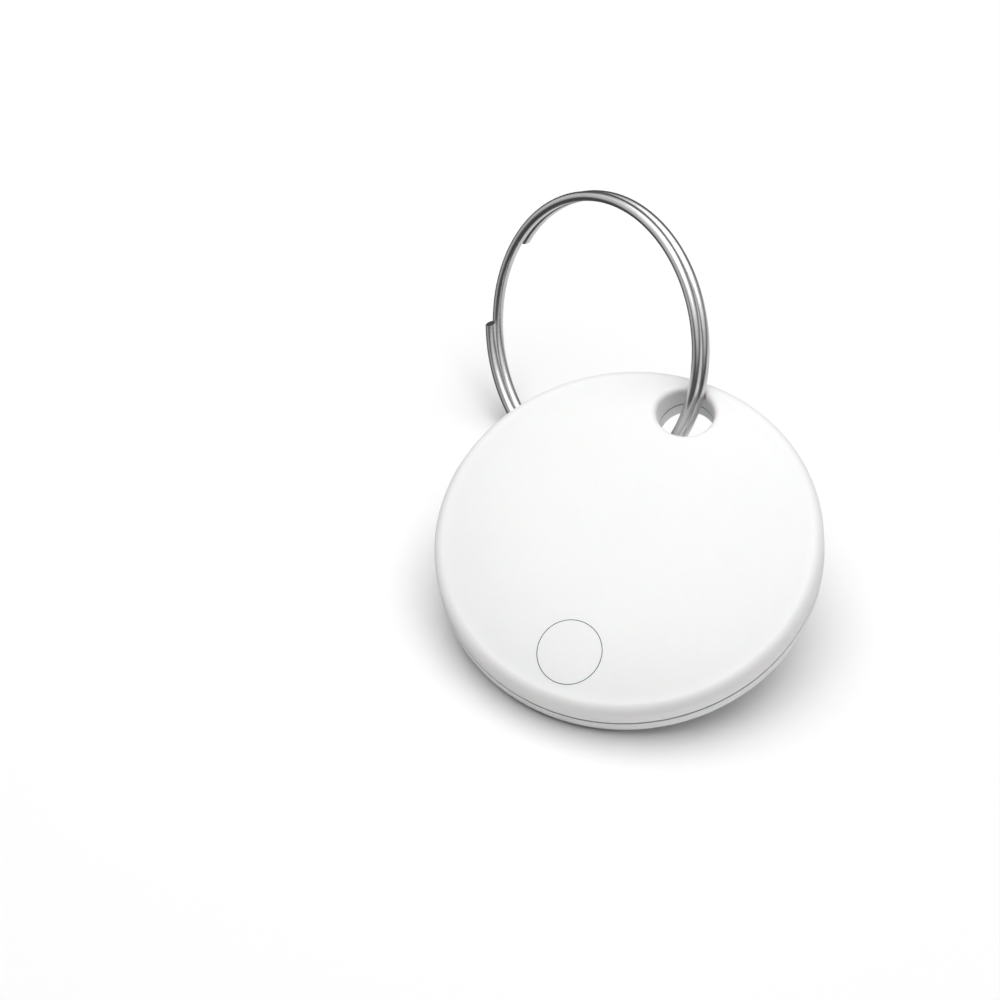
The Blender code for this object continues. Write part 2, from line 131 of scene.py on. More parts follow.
# Button and the switch dome under it
BUTTON_Y = -13.98 * MM
BUTTON_R = 3.12 * MM
BUTTON_GAP = 0.07 * MM
BUTTON_BLANK_TOP = 8.0 * MM
BUTTON_TOOL_Z = 1.0 * MM
OPENING_Z = (3.8 * MM, 9.0 * MM)
LUG_Z = (3.98 * MM, 4.31 * MM)
LUG_SIZE = (8.0 * MM, 1.6 * MM)
LUG_DROP = 0.02 * MM
POST_R = 0.9 * MM
POST_Z = (3.68 * MM, LUG_Z[1] - 0.1 * MM)
DOME_RIM_R = 0.90 * MM
DOME_RIM_Z = 2.84 * MM
DOME_RISE = 0.14 * MM
DOME_SHEET = 0.05 * MM

# Key ring
WIRE_HALF = 0.5 * MM
RING_R = 14.33 * MM
RING_STEPS = 680
COIL_STEP = 1.02 * MM
RING_LEAN = math.radians(38.0)
RING_LEAN_AZIMUTH = math.radians(72.7)
RING_ROLL = math.radians(-12.0)
RING_END_INNER = math.radians(170.7)
RING_END_OUTER = math.radians(208.2)
RING_END_SLANT = 0.42 * MM
RING_SWEEP = RING_END_INNER + 4 * math.pi - RING_END_OUTER

# Camera
CAMERA_AIM = Vector((-14.96, 1.80, 0.0)) * MM
CAMERA_AZIMUTH = math.radians(22.005)
CAMERA_ELEVATION = math.radians(43.94)
CAMERA_ROLL = math.radians(3.567)
CAMERA_DISTANCE = 446.7 * MM
CAMERA_LENS = 162.0
CAMERA_SENSOR = 36.0
CAMERA_REACH = (0.01, 20.0)

# Studio, in metres and watts
FLOOR_SIZE = 4.0
FLOOR_DROP = 0.01 * MM
FLOOR_BLOTCH = 0.4
FLOOR_FADE = (0.12, 0.45)
OVERHEAD_PLACE = Vector((-0.02, 0.065, 0.5))
OVERHEAD_SIDE = 0.64
OVERHEAD_POWER = 2.74
# The dome of light: (sine of the elevation, level)
SKY = ((0.0, 0.35), (0.12, 0.10), (0.35, 0.22), (0.62, 0.75), (1.0, 1.0))
SKY_STRENGTH = 0.54
# What metal reflects: (towards, where the glow starts and is full as a cosine, level)
MIRROR_DIM = 0.08
MIRROR_LIGHTS = (
    ((0.0, 0.0, 1.0), 0.20, 0.70, 0.85),
    ((0.65, 0.35, -0.68), 0.50, 0.80, 0.75),
    ((-0.92, -0.24, 0.20), 0.81, 0.95, 0.66),
)
WHITE = (1.0, 1.0, 1.0)

# Noise mostly lies between these two values
NOISE_LOW, NOISE_HIGH = 0.3, 0.7

joints = {joint["name"]: joint for joint in frame["record"]["behaviour"]["joints"]}
mount = frame["record"]["mounts"][0]
lean = math.atan2(mount["axis"][1], -mount["axis"][2])
TAG = Matrix.Translation(Vector(mount["pos_m"])) @ Matrix.Rotation(lean, 4, "X")


def tag_points(node):
    """A CAD node's vertices in the tag's own frame."""
    inverse = TAG.inverted()
    return [inverse @ vertex.co for vertex in bpy.data.objects[node].data.vertices]


DISC_R = max(math.hypot(p.x, p.y) for p in tag_points("front_shell"))
DOME_R = DISC_R - TOP_FILLET
BACK_SLOPE_R = DISC_R - BACK_EDGE_R


# Shape helpers


def new_object(name, mesh):
    made = bpy.data.objects.new(name, mesh)
    bpy.context.scene.collection.objects.link(made)
    return made


def mesh_from(shape, name):
    """Ends a bmesh as a mesh of this name."""
    mesh = bpy.data.meshes.new(name)
    shape.to_mesh(mesh)
    shape.free()
    return mesh


def turned(name, outline, steps=TURN_STEPS, closed=False, phase=0.0):
    """Turns an (r, z) outline about Z, from phase steps on. An end on the axis closes to a point."""
    shape = bmesh.new()
    loops = []
    for r, z in outline:
        if r == 0.0:
            loops.append([shape.verts.new((0.0, 0.0, z))] * steps)
            continue
        angles = [2 * math.pi * (j + phase) / steps for j in range(steps)]
        loops.append([shape.verts.new((r * math.cos(a), r * math.sin(a), z)) for a in angles])
    pairs = list(zip(loops, loops[1:]))
    if closed:
        pairs.append((loops[-1], loops[0]))
    for one, other in pairs:
        for j in range(steps):
            k = (j + 1) % steps
            corners = list(dict.fromkeys((one[j], one[k], other[k], other[j])))
            if len(corners) > 2:
                shape.faces.new(corners)
    bmesh.ops.recalc_face_normals(shape, faces=shape.faces)
    return new_object(name, mesh_from(shape, name))


def rod(name, r, z_low, z_high, x=0.0, y=0.0, steps=64):
    made = turned(name, [(0.0, z_high), (r, z_high), (r, z_low), (0.0, z_low)], steps, phase=ROD_PHASE)
    made.location = (x, y, 0.0)
    return made


def block(name, size, place):
    shape = bmesh.new()
    bmesh.ops.create_cube(shape, size=1.0)
    bmesh.ops.scale(shape, vec=size, verts=shape.verts)
    made = new_object(name, mesh_from(shape, name))
    made.location = place
    return made


def shape_with(target, steps):
    """Runs the Booleans (tool, operation) in order, and removes the tools."""
    for tool, operation in steps:
        change = target.modifiers.new(tool.name, "BOOLEAN")
        change.operation = operation
        change.object = tool
        change.solver = "EXACT"
    bpy.context.view_layer.update()
    graph = bpy.context.evaluated_depsgraph_get()
    mesh = bpy.data.meshes.new_from_object(target.evaluated_get(graph))
    mesh.name = target.name
    target.modifiers.clear()
    target.data = mesh
    for tool, _ in steps:
        bpy.data.objects.remove(tool)
    return target


def shade(mesh, sharp_deg):
    mesh.shade_smooth()
    mesh.set_sharp_from_angle(angle=math.radians(sharp_deg))


def settle(piece, sharp_deg=32.0):
    """Moves a piece drawn in the tag's frame to its place, and shades it smooth."""
    piece.data.transform(TAG @ piece.matrix_world)
    piece.matrix_world = Matrix.Identity(4)
    shade(piece.data, sharp_deg)


def arc(centre, radii, start_deg, end_deg, steps):
    points = []
    for i in range(steps + 1):
        angle = math.radians(start_deg + (end_deg - start_deg) * i / steps)
        points.append((centre[0] + radii[0] * math.cos(angle), centre[1] + radii[1] * math.sin(angle)))
    return points


def face_z(r):
    return FACE_TOP - DOME_SAG * (min(r, DOME_R) / DOME_R) ** DOME_POWER


def face_outline(r_end, drop, steps):
    return [(r_end * i / steps, face_z(r_end * i / steps) - drop) for i in range(steps + 1)]


def seam_corner(z, start_deg, end_deg):
    """The eased corner where the side wall meets the parting line; z is the corner's centre."""
    return arc((DISC_R - SEAM_ROUND, z), (SEAM_ROUND, SEAM_ROUND), start_deg, end_deg, 4)


# Housing


def dome_outline():
    """The domed face and its rounded edge, down to the side wall."""
    slope = math.atan(DOME_SAG * DOME_POWER / DOME_R)
    start_deg = 90.0 - math.degrees(slope) / 2
    centre = (DOME_R, face_z(DOME_R) - TOP_FILLET)
    return face_outline(DOME_R, 0.0, 60)[:-1] + arc(centre, (TOP_FILLET, TOP_FILLET), start_deg, 0.0, 20)


def front_surface(r):
    over = min(max(r - DOME_R, 0.0), TOP_FILLET)
    return face_z(r) - TOP_FILLET + math.sqrt(TOP_FILLET**2 - over**2)


def back_surface(r):
    fall = BACK_FALL * min(max((r - BACK_FLAT_R) / (BACK_SLOPE_R - BACK_FLAT_R), 0.0), 1.0)
    over = min(max(r - BACK_SLOPE_R, 0.0) / BACK_EDGE_R, 1.0)
    return fall + BACK_EDGE_H * (1.0 - math.sqrt(1.0 - over**2))


def lip_size(least, relief, relief_deg, half_width_deg, azimuth_deg):
    """A lip's radius at an azimuth in degrees about the hole, counted from +X."""
    away = abs((azimuth_deg - relief_deg + 180.0) % 360.0 - 180.0)
    return least + relief * (1 + math.cos(math.pi * min(away / half_width_deg, 1.0))) / 2


def lip_outline(size, end_deg, run_out, steps=16):
    """A rounded lip as (radius, depth below the surface), from the bore outwards."""
    lip = []
    for i in range(steps + 1):
        angle = math.radians(end_deg * i / steps)
        lip.append((HOLE_R + size * (1 - math.cos(angle)), size * (1 - math.sin(angle))))
    wide = lip[-1][0] + run_out
    lip.append((wide, lip[-1][1] - run_out * math.tan(math.radians(90.0 - end_deg))))
    lip.append((wide, -CUT_PAST))
    return lip


def key_hole_cutter():
    """The bore with a rounded lip at each mouth, each lip following its own outer surface."""
    shape = bmesh.new()
    columns = []
    for j in range(HOLE_STEPS):
        azimuth = 360.0 * j / HOLE_STEPS
        across, along = math.cos(math.radians(azimuth)), math.sin(math.radians(azimuth))
        column = []
        for r, depth in reversed(lip_outline(lip_size(*HOLE_BACK_LIP, azimuth), *BACK_LIP_CUT)):
            x, y = r * across, HOLE_Y + r * along
            column.append(shape.verts.new((x, y, back_surface(math.hypot(x, y)) + depth)))
        for r, depth in lip_outline(lip_size(*HOLE_FRONT_LIP, azimuth), *FRONT_LIP_CUT):
            x, y = r * across, HOLE_Y + r * along
            column.append(shape.verts.new((x, y, front_surface(math.hypot(x, y)) - depth)))
        columns.append(column)
    loops = list(zip(*columns))
    for below, above in zip(loops, loops[1:]):
        for j in range(HOLE_STEPS):
            k = (j + 1) % HOLE_STEPS
            shape.faces.new((below[j], below[k], above[k], above[j]))
    shape.faces.new(loops[0][::-1])
    shape.faces.new(loops[-1])
    bmesh.ops.recalc_face_normals(shape, faces=shape.faces)
    return new_object("key_hole_cutter", mesh_from(shape, "key_hole_cutter"))


def front_shell():
    """The domed shell with its sounder seat, screw bosses, key hole collar and button opening."""
    z_low = SEAM_Z + SEAM_GAP / 2
    roof = face_outline(FRONT_WALL_R - ROOF_CORNER, WALL, 24)
    inner = [(FRONT_WALL_R, z_low), (FRONT_WALL_R, roof[-1][1] - ROOF_CORNER)] + roof[::-1]
    corner = seam_corner(z_low + SEAM_ROUND, 0.0, -90.0)
    shell = turned("tag_front_shell", dome_outline() + corner + inner)
    (seat_in, seat_out), (seat_low, seat_high) = SOUNDER_SEAT_R, SOUNDER_SEAT_Z
    seat = [(seat_in, seat_high), (seat_out, seat_high), (seat_out, seat_low), (seat_in, seat_low)]
    steps = [(turned("seat", seat, closed=True), "UNION")]
    collar = rod("collar", COLLAR_R, SEAM_Z + COLLAR_GAP / 2, COLLAR_TOP, y=HOLE_Y, steps=HOLE_STEPS)
    steps.append((collar, "UNION"))
    for x in (-BOSS_X, BOSS_X):
        steps.append((rod("boss", BOSS_R, *BOSS_Z, x=x), "UNION"))
        steps.append((rod("pilot", PILOT_R, *PILOT_Z, x=x, steps=32), "DIFFERENCE"))
    opening = rod("opening", BUTTON_R + BUTTON_GAP, *OPENING_Z, y=BUTTON_Y, steps=HOLE_STEPS)
    steps.append((opening, "DIFFERENCE"))
    steps.append((key_hole_cutter(), "DIFFERENCE"))
    settle(shape_with(shell, steps))
    return shell


def back_cover():
    """The back with its battery well, its spigot and the other half of the key hole's collar."""
    z_top = SEAM_Z - SEAM_GAP / 2
    edge_z = BACK_FALL + BACK_EDGE_H
    outline = [(0.0, WALL), (WELL_IN_R, WALL), (WELL_IN_R, WELL_TOP), (WELL_OUT_R, WELL_TOP)]
    outline += [(WELL_OUT_R, WALL), (SPIGOT_IN_R, WALL), (SPIGOT_IN_R, SPIGOT_TOP)]
    outline += [(SPIGOT_OUT_R, SPIGOT_TOP), (SPIGOT_OUT_R, z_top)]
    outline += seam_corner(z_top - SEAM_ROUND, 90.0, 0.0)
    outline += arc((BACK_SLOPE_R, edge_z), (BACK_EDGE_R, BACK_EDGE_H), 0.0, -90.0, 24)
    slope_rings = 12
    for i in range(1, slope_rings + 1):
        r = BACK_SLOPE_R + (BACK_FLAT_R - BACK_SLOPE_R) * i / slope_rings
        outline.append((r, back_surface(r)))
    flat_rings = 5
    outline += [(BACK_FLAT_R * i / flat_rings, 0.0) for i in reversed(range(flat_rings))]
    cover = turned("tag_back_cover", outline)
    notch = rod("notch", NOTCH_R, z_top - NOTCH_DEPTH, NOTCH_TOP, y=HOLE_Y, steps=HOLE_STEPS)
    collar = rod("collar", COLLAR_R, WALL / 2, SEAM_Z - COLLAR_GAP / 2, y=HOLE_Y, steps=HOLE_STEPS)
    steps = [(notch, "DIFFERENCE"), (collar, "UNION"), (key_hole_cutter(), "DIFFERENCE")]
    settle(shape_with(cover, steps))
    return cover


def button_cap():
    """A plug cut by the face's own dome, with lugs that hold it in and a post down to the switch."""
    lug_low, lug_high = LUG_Z
    cap = rod("tag_button", BUTTON_R, lug_low, BUTTON_BLANK_TOP, y=BUTTON_Y, steps=HOLE_STEPS)
    dome = turned("dome", dome_outline() + [(DISC_R, BUTTON_TOOL_Z), (0.0, BUTTON_TOOL_Z)])
    lugs_z = (lug_low + lug_high) / 2 - LUG_DROP
    lugs = block("lugs", (*LUG_SIZE, lug_high - lug_low), (0.0, BUTTON_Y, lugs_z))
    post = rod("post", POST_R, *POST_Z, y=BUTTON_Y)
    settle(shape_with(cap, [(dome, "INTERSECT"), (lugs, "UNION"), (post, "UNION")]))
    return cap


def snap_dome():
    """The switch's metal dome: a shallow bowl of thin sheet, upside down on its rim."""
    rings = 12
    lower = []
    for i in range(rings + 1):
        r = DOME_RIM_R * i / rings
        lower.append((r, DOME_RIM_Z + DOME_RISE * (1 - (r / DOME_RIM_R) ** 2)))
    upper = [(r, z + DOME_SHEET) for r, z in lower]
    dome = turned("switch_snap_dome", upper + lower[::-1], steps=48)
    dome.location.y = BUTTON_Y
    bpy.context.view_layer.update()
    settle(dome, 60.0)
    return dome


def squash_snap_dome():
    """Gives the switch's dome a mesh of its own."""
    dome = bpy.data.objects["switch_snap_dome"]
    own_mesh(dome)


# Key ring


def ring_offset(angle):
    """How far along the ring's own axis the wire lies: a steady winding from one end to the other."""
    middle = (RING_END_INNER + 4 * math.pi + RING_END_OUTER) / 2
    return COIL_STEP * (middle - angle) / (2 * math.pi)


def wire_section(count=32, power=2.4):
    """A rounded square, flattened where one coil faces the next, as (radial, along the axis)."""
    points = []
    for i in range(count):
        angle = 2 * math.pi * (i + 0.5) / count
        c, s = math.cos(angle), math.sin(angle)
        radial = math.copysign(abs(c) ** (2 / power), c) * WIRE_HALF
        along = math.copysign(abs(s) ** (2 / power), s) * WIRE_HALF
        points.append((radial, along))
    return points


def ring_loops(shape, section):
    """The wire's section at each step from the outer end to the inner one. The ends are cut aslant."""
    slant = RING_END_SLANT / RING_R / 2
    loops = []
    for i in range(RING_STEPS + 1):
        plain = RING_END_OUTER + RING_SWEEP * i / RING_STEPS
        loops.append([])
        for radial, along in section:
            angle = plain + (slant * along / WIRE_HALF if i in (0, RING_STEPS) else 0.0)
            r = RING_R + radial
            point = (RING_R - r * math.cos(angle), ring_offset(angle) + along, r * math.sin(angle))
            loops[-1].append(shape.verts.new(point))
    return loops


def key_ring():
    """One wire wound almost twice. Its texture runs in millimetres along it and in turns about it."""
    turn = Matrix.Rotation(RING_LEAN_AZIMUTH + math.pi / 2, 4, "Z")
    turn = turn @ Matrix.Rotation(RING_LEAN, 4, "X") @ Matrix.Rotation(RING_ROLL, 4, "Z")
    section = wire_section()
    count = len(section)
    shape = bmesh.new()
    uv = shape.loops.layers.uv.new("wire")
    loops = ring_loops(shape, section)
    step_length = RING_SWEEP * RING_R / RING_STEPS / MM
    for i in range(RING_STEPS):
        for j in range(count):
            k = (j + 1) % count
            face = shape.faces.new((loops[i][j], loops[i + 1][j], loops[i + 1][k], loops[i][k]))
            for loop, (u, v) in zip(face.loops, ((i, j), (i + 1, j), (i + 1, j + 1), (i, j + 1))):
                loop[uv].uv = (u * step_length, v / count)
    shape.faces.new(loops[0])
    shape.faces.new(loops[-1][::-1])
    bmesh.ops.recalc_face_normals(shape, faces=shape.faces)
    mesh = mesh_from(shape, "split_key_ring")
    pivot = Matrix.Translation(Vector(joints["ring_swing"]["pos_m"]))
    mesh.transform(pivot @ Matrix.Rotation(lean, 4, "X") @ turn)
    shade(mesh, 50.0)
    return new_object("split_key_ring", mesh)


# Materials


def colour_ramp(nodes, links, source, stops):
    """Colours a value by (position, colour) stops."""
    node = nodes.new("ShaderNodeValToRGB")
    elements = node.color_ramp.elements
    while len(elements) < len(stops):
        elements.new(0.5)
    for element, (position, colour) in zip(elements, stops):
        element.position = position
        element.color = (*colour, 1.0)
    links.new(source, node.inputs["Fac"])
    return node.outputs["Color"]


def mirror_room(nodes, links, direction):
    """What metal reflects: a dim room with the soft glows of MIRROR_LIGHTS."""
    dim = MIRROR_DIM / len(MIRROR_LIGHTS)
    total = None
    for towards, start, end, level in MIRROR_LIGHTS:
        facing = nodes.new("ShaderNodeVectorMath")
        facing.operation = "DOT_PRODUCT"
        facing.inputs[1].default_value = Vector(towards).normalized()
        links.new(direction, facing.inputs[0])
        glow = nodes.new("ShaderNodeMapRange")
        glow.interpolation_type = "SMOOTHSTEP"
        glow.inputs["From Min"].default_value = start
        glow.inputs["From Max"].default_value = end
        glow.inputs["To Min"].default_value = dim
        glow.inputs["To Max"].default_value = dim + level
        links.new(facing.outputs["Value"], glow.inputs["Value"])
        if total is None:
            total = glow.outputs["Result"]
            continue
        both = nodes.new("ShaderNodeMath")
        both.operation = "ADD"
        links.new(total, both.inputs[0])
        links.new(glow.outputs["Result"], both.inputs[1])
        total = both.outputs["Value"]
    return total


class Shader:
    """A node material that is built up from named steps."""

    def __init__(self, name):
        self.material = bpy.data.materials.new(name)
        self.material.use_nodes = True
        self.nodes = self.material.node_tree.nodes
        self.links = self.material.node_tree.links
        self.surface = self.nodes["Principled BSDF"]
        self.place = self.nodes.new("ShaderNodeTexCoord").outputs["Object"]

    def set(self, **values):
        for key, value in values.items():
            self.surface.inputs[key.replace("_", " ")].default_value = value

    def feed(self, socket, source):
        self.links.new(source, self.surface.inputs[socket])

    def noise(self, size, detail=3.0, stretch=None, source=None):
        """Noise whose features are about size metres across, or size units of the source."""
        vector = source or self.place
        if stretch:
            mapping = self.nodes.new("ShaderNodeMapping")
            mapping.inputs["Scale"].default_value = stretch
            self.links.new(vector, mapping.inputs["Vector"])
            vector = mapping.outputs["Vector"]
        node = self.nodes.new("ShaderNodeTexNoise")
        node.inputs["Scale"].default_value = 1.0 / size
        node.inputs["Detail"].default_value = detail
        self.links.new(vector, node.inputs["Vector"])
        return node.outputs["Fac"]

    def drift(self, source, dark, light):
        """Lets the colour follow noise from dark to light."""
        self.feed("Base Color", self.ramp(source, (NOISE_LOW, dark), (NOISE_HIGH, light)))

    def ramp(self, source, *stops):
        return colour_ramp(self.nodes, self.links, source, stops)

    def spread(self, source, low, high):
        """Noise as a value from low to high."""
        node = self.nodes.new("ShaderNodeMapRange")
        node.inputs["To Min"].default_value = low
        node.inputs["To Max"].default_value = high
        node.inputs["From Min"].default_value = NOISE_LOW
        node.inputs["From Max"].default_value = NOISE_HIGH
        self.links.new(source, node.inputs["Value"])
        return node.outputs["Result"]

    def bump(self, source, depth):
        """Raises the surface by up to depth metres, on top of any bump so far."""
        node = self.nodes.new("ShaderNodeBump")
        node.inputs["Distance"].default_value = depth
        self.links.new(source, node.inputs["Height"])
        if self.surface.inputs["Normal"].is_linked:
            self.links.new(self.surface.inputs["Normal"].links[0].from_socket, node.inputs["Normal"])
        self.feed("Normal", node.outputs["Normal"])

    def openness(self, distance, inside=False):
        """How open a point is, from 0 to 1, to rays of this length that leave or enter its surface."""
        node = self.nodes.new("ShaderNodeAmbientOcclusion")
        node.samples = 8
        node.inside = inside
        node.inputs["Distance"].default_value = distance
        return node.outputs["AO"]

    def paint_crevice_shade(self, distance, deepest):
        """Paints shade: takes the colour down to deepest times itself in gaps narrower than distance."""
        self.tint(self.ramp(self.openness(distance), (0.15, (deepest,) * 3), (0.70, WHITE)))

    def paint_edge_shade(self, share, distance=0.4 * MM):
        """Paints shade: takes the colour to share times itself at corners and where it is thin."""
        self.tint(self.ramp(self.openness(distance, inside=True), (0.45, (share,) * 3), (0.9, WHITE)))

    def tint(self, share):
        """Multiplies the colour so far."""
        both = self.nodes.new("ShaderNodeVectorMath")
        both.operation = "MULTIPLY"
        self.links.new(self.surface.inputs["Base Color"].links[0].from_socket, both.inputs[0])
        self.links.new(share, both.inputs[1])
        self.feed("Base Color", both.outputs["Vector"])

    def fade_to_white(self, start, end):
        """Fades to the white room from start to end metres from the origin, for the camera alone."""
        away = self.nodes.new("ShaderNodeVectorMath")
        away.operation = "LENGTH"
        self.links.new(self.nodes.new("ShaderNodeNewGeometry").outputs["Position"], away.inputs[0])
        share = self.nodes.new("ShaderNodeMapRange")
        share.interpolation_type = "SMOOTHSTEP"
        share.inputs["From Min"].default_value = start
        share.inputs["From Max"].default_value = end
        self.links.new(away.outputs["Value"], share.inputs["Value"])
        path = self.nodes.new("ShaderNodeLightPath")
        self.links.new(path.outputs["Is Camera Ray"], share.inputs["To Max"])
        self.glow_instead(share.outputs["Result"])

    def mirror_room_in_reflections(self):
        """Shows the mirror room to shiny surfaces in place of this one."""
        onward = self.nodes.new("ShaderNodeVectorMath")
        onward.operation = "SCALE"
        onward.inputs["Scale"].default_value = -1.0
        self.links.new(self.nodes.new("ShaderNodeNewGeometry").outputs["Incoming"], onward.inputs[0])
        path = self.nodes.new("ShaderNodeLightPath")
        room = mirror_room(self.nodes, self.links, onward.outputs["Vector"])
        self.glow_instead(path.outputs["Is Glossy Ray"], room)

    def glow_instead(self, share, colour=None):
        """Mixes a glow over what is shown so far, white unless a socket gives its colour."""
        glow = self.nodes.new("ShaderNodeEmission")
        glow.inputs["Color"].default_value = (*WHITE, 1.0)
        if colour:
            self.links.new(colour, glow.inputs["Color"])
        mix = self.nodes.new("ShaderNodeMixShader")
        out = next(node for node in self.nodes if node.type == "OUTPUT_MATERIAL")
        self.links.new(share, mix.inputs["Fac"])
        self.links.new(out.inputs["Surface"].links[0].from_socket, mix.inputs[1])
        self.links.new(glow.outputs["Emission"], mix.inputs[2])
        self.links.new(mix.outputs["Shader"], out.inputs["Surface"])


def grained(name, dark, light, roughness, metallic=0.0, blotch=2 * MM, grain=0.08 * MM, depth=0.002 * MM):
    """A material whose colour drifts slowly and whose surface has a fine grain."""
    shader = Shader(name)
    shader.set(Metallic=metallic)
    shader.drift(shader.noise(blotch), dark, light)
    fine = shader.noise(grain, detail=2.0)
    shader.feed("Roughness", shader.spread(fine, *roughness))
    shader.bump(fine, depth)
    # Painted shade, a little darker at corners and thin places.
    shader.paint_edge_shade(0.98)
    return shader


def white_plastic():
    shader = grained("white_moulded_plastic", (0.866,) * 3, (0.880,) * 3, (0.38, 0.46),
                     blotch=9 * MM, grain=0.06 * MM, depth=0.0012 * MM)
    shader.set(Subsurface_Weight=0.12, Subsurface_Scale=0.4 * MM, IOR=1.48)
    # Painted shade in the seam, round the button and in other narrow gaps.
    shader.paint_crevice_shade(0.5 * MM, 0.10)
    return shader.material


def ring_steel():
    """Steel wire with fine lines drawn along it."""
    shader = Shader("drawn_steel_wire")
    wire = shader.nodes.new("ShaderNodeUVMap").outputs["UV"]
    lines = shader.noise(1.0, detail=2.0, stretch=(0.12, 22.0, 1.0), source=wire)
    shader.set(Metallic=1.0)
    shader.drift(shader.noise(2.4 * MM, detail=2.0), (0.60,) * 3, (0.68,) * 3)
    shader.feed("Roughness", shader.spread(lines, 0.20, 0.27))
    shader.bump(lines, 0.0005 * MM)
    return shader.material


def circuit_board():
    """Green solder mask, paler and raised over a grid of tracks."""
    dark, light, track = (0.012, 0.11, 0.05), (0.018, 0.14, 0.065), (0.05, 0.26, 0.12)
    shader = grained("solder_mask_and_traces", dark, light, (0.28, 0.40), grain=0.05 * MM)
    tracks = shader.nodes.new("ShaderNodeTexBrick")
    tracks.inputs["Scale"].default_value = 1.0
    tracks.inputs["Brick Width"].default_value = 1.9 * MM
    tracks.inputs["Row Height"].default_value = 0.7 * MM
    tracks.inputs["Mortar Size"].default_value = 0.09 * MM
    for socket, colour in (("Color1", dark), ("Color2", light), ("Mortar", track)):
        tracks.inputs[socket].default_value = (*colour, 1.0)
    shader.links.new(shader.place, tracks.inputs["Vector"])
    shader.feed("Base Color", tracks.outputs["Color"])
    shader.bump(tracks.outputs["Fac"], 0.02 * MM)
    return shader.material


# The looks of grained(), by material slot
GRAINED = {
    "black_resin": dict(name="moulded_chip_resin", dark=(0.018, 0.018, 0.020), light=(0.034, 0.034, 0.037),
                        roughness=(0.45, 0.62), blotch=0.9 * MM, grain=0.04 * MM, depth=0.006 * MM),
    "grey_plastic": dict(name="grey_switch_plastic", dark=(0.12, 0.12, 0.13), light=(0.17, 0.17, 0.18),
                         roughness=(0.4, 0.55)),
    "grey_silicone": dict(name="grey_silicone", dark=(0.26, 0.27, 0.28), light=(0.33, 0.34, 0.35),
                          roughness=(0.6, 0.75), depth=0.004 * MM),
    "screw_steel": dict(name="zinc_plated_screw", dark=(0.50, 0.51, 0.52), light=(0.66, 0.66, 0.64),
                        roughness=(0.22, 0.36), metallic=1.0, blotch=0.5 * MM),
    "cell_steel": dict(name="stainless_cell_can", dark=(0.60, 0.60, 0.59), light=(0.70, 0.70, 0.69),
                       roughness=(0.20, 0.34), metallic=1.0, blotch=4 * MM, grain=0.12 * MM),
    "nickel": dict(name="nickel_plate", dark=(0.60, 0.58, 0.53), light=(0.72, 0.70, 0.64),
                   roughness=(0.18, 0.32), metallic=1.0),
    "brass": dict(name="rolled_brass", dark=(0.62, 0.44, 0.17), light=(0.78, 0.58, 0.26),
                  roughness=(0.26, 0.42), metallic=1.0, blotch=3 * MM),
    "white_ceramic": dict(name="fired_white_ceramic", dark=(0.74, 0.72, 0.66), light=(0.84, 0.82, 0.76),
                          roughness=(0.4, 0.6)),
    "capacitor_ceramic": dict(name="capacitor_ceramic", dark=(0.42, 0.29, 0.17), light=(0.58, 0.43, 0.27),
                              roughness=(0.4, 0.6), blotch=0.4 * MM),
    "nylon": dict(name="natural_nylon", dark=(0.66, 0.66, 0.61), light=(0.76, 0.76, 0.71),
                  roughness=(0.4, 0.55)),
    "manganese_oxide": dict(name="pressed_manganese_oxide", dark=(0.02,) * 3, light=(0.06, 0.055, 0.05),
                            roughness=(0.8, 0.95), blotch=0.3 * MM, depth=0.02 * MM),
    "separator_felt": dict(name="separator_felt", dark=(0.76, 0.76, 0.72), light=(0.88, 0.88, 0.85),
                           roughness=(0.85, 0.95), blotch=0.5 * MM, depth=0.02 * MM),
    "lithium": dict(name="dull_lithium", dark=(0.42, 0.42, 0.44), light=(0.60, 0.60, 0.61),
                    roughness=(0.45, 0.65), metallic=0.9),
    "adhesive": dict(name="cured_adhesive", dark=(0.66, 0.62, 0.48), light=(0.78, 0.75, 0.63),
                     roughness=(0.35, 0.5)),
}


def dress():
    """Gives every CAD node the procedural material of its slot, and returns the materials by slot."""
    made = {"white_plastic": white_plastic(), "ring_steel": ring_steel(), "solder_mask": circuit_board()}
    for slot, look in GRAINED.items():
        made[slot] = grained(**look).material
    for part in frame["record"]["subparts"]:
        mesh = bpy.data.objects[part["node"]].data
        mesh.materials.clear()
        mesh.materials.append(made[part["material_slot"]])
    return made


# Studio


def floor():
    shape = bmesh.new()
    bmesh.ops.create_grid(shape, x_segments=1, y_segments=1, size=FLOOR_SIZE)
    made = new_object("floor", mesh_from(shape, "floor"))
    made.location.z = cad_low.z - FLOOR_DROP
    shader = Shader("pale_floor")
    shader.drift(shader.noise(FLOOR_BLOTCH), (0.93,) * 3, (0.95,) * 3)
    shader.set(Roughness=0.9, Specular_IOR_Level=0.1)
    shader.mirror_room_in_reflections()
    shader.fade_to_white(*FLOOR_FADE)
    made.data.materials.append(shader.material)


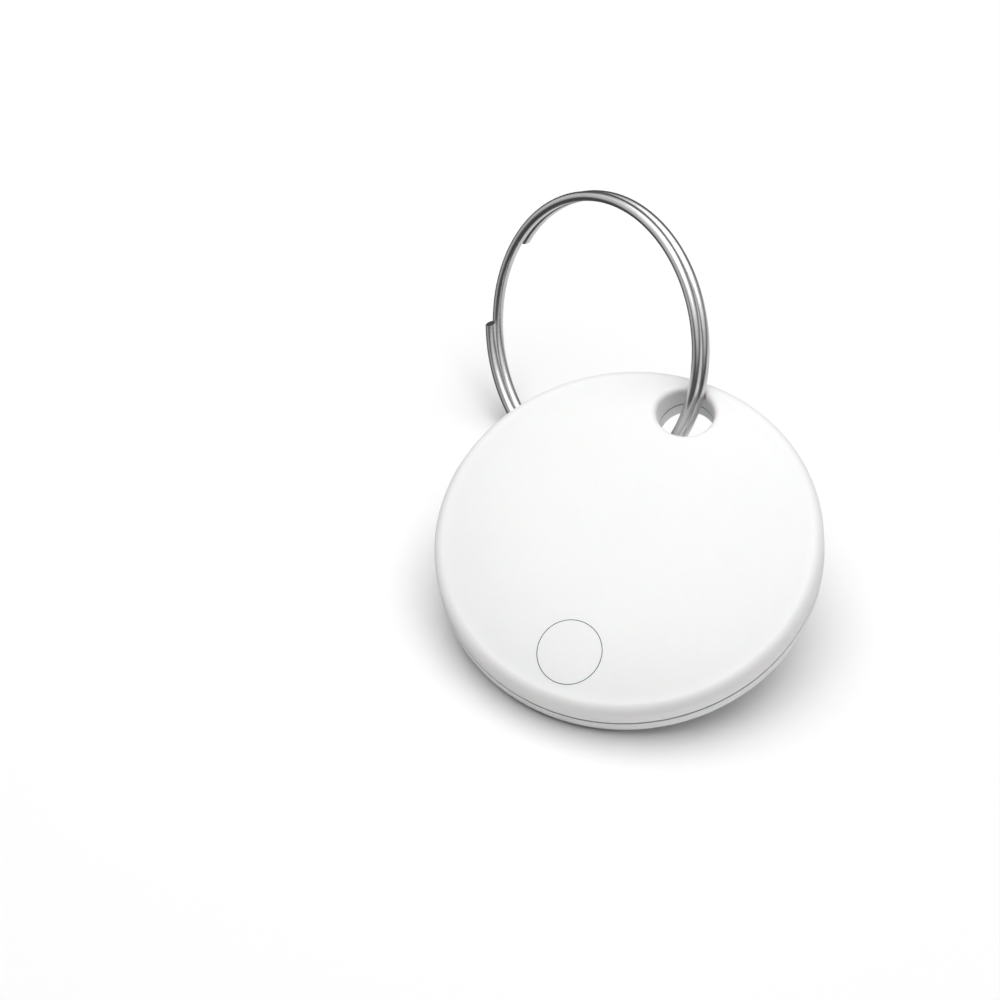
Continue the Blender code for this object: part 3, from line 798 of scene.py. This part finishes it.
def world():
    """A pale room. The camera sees white, metal sees the mirror room, the rest a soft dome of light."""
    made = bpy.data.worlds.new("studio")
    bpy.context.scene.world = made
    made.use_nodes = True
    nodes, links = made.node_tree.nodes, made.node_tree.links
    nodes.clear()
    direction = nodes.new("ShaderNodeTexCoord").outputs["Generated"]
    split = nodes.new("ShaderNodeSeparateXYZ")
    links.new(direction, split.inputs["Vector"])
    path = nodes.new("ShaderNodeLightPath")

    def background(strength, colour=None):
        node = nodes.new("ShaderNodeBackground")
        node.inputs["Color"].default_value = (*WHITE, 1.0)
        node.inputs["Strength"].default_value = strength
        if colour:
            links.new(colour, node.inputs["Color"])
        return node.outputs["Background"]

    def swap_for(ray, shown, other):
        """Shows the other background to rays of this kind."""
        mix = nodes.new("ShaderNodeMixShader")
        links.new(path.outputs[ray], mix.inputs["Fac"])
        links.new(shown, mix.inputs[1])
        links.new(other, mix.inputs[2])
        return mix.outputs["Shader"]

    stops = [(sine, (level,) * 3) for sine, level in SKY]
    shown = background(SKY_STRENGTH, colour_ramp(nodes, links, split.outputs["Z"], stops))
    shown = swap_for("Is Glossy Ray", shown, background(1.0, mirror_room(nodes, links, direction)))
    shown = swap_for("Is Camera Ray", shown, background(1.0))
    links.new(shown, nodes.new("ShaderNodeOutputWorld").inputs["Surface"])


def overhead_light():
    """One square softbox that faces the origin."""
    data = bpy.data.lights.new("overhead", "AREA")
    data.shape = "RECTANGLE"
    data.size = data.size_y = OVERHEAD_SIDE
    data.energy = OVERHEAD_POWER
    lamp = new_object("overhead", data)
    lamp.location = OVERHEAD_PLACE
    lamp.rotation_mode = "QUATERNION"
    lamp.rotation_quaternion = (-OVERHEAD_PLACE).to_track_quat("-Z", "Y")


def camera():
    data = bpy.data.cameras.new("camera")
    data.sensor_width = CAMERA_SENSOR
    data.lens = CAMERA_LENS
    data.clip_start, data.clip_end = CAMERA_REACH
    made = new_object("camera", data)
    level = math.cos(CAMERA_ELEVATION)
    across, along = math.sin(CAMERA_AZIMUTH) * level, -math.cos(CAMERA_AZIMUTH) * level
    back = Vector((across, along, math.sin(CAMERA_ELEVATION)))
    made.location = CAMERA_AIM + back * CAMERA_DISTANCE
    made.rotation_mode = "QUATERNION"
    made.rotation_quaternion = back.to_track_quat("Z", "Y") @ Quaternion((0.0, 0.0, 1.0), CAMERA_ROLL)
    bpy.context.scene.camera = made
    bpy.context.scene.view_settings.view_transform = "Standard"


def main():
    materials = dress()
    for maker, node, body, slot in (
        (front_shell, "front_shell", "tag", "white_plastic"),
        (back_cover, "back_cover", "tag", "white_plastic"),
        (button_cap, "button_cap", "button", "white_plastic"),
        (snap_dome, "switch_dome", "tag", "nickel"),
        (key_ring, "key_ring", "ring", "ring_steel"),
    ):
        piece = maker()
        piece.data.materials.clear()
        piece.data.materials.append(materials[slot])
        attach(piece, body)
        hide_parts(node)
    squash_snap_dome()
    floor()
    world()
    overhead_light()
    camera()


main()
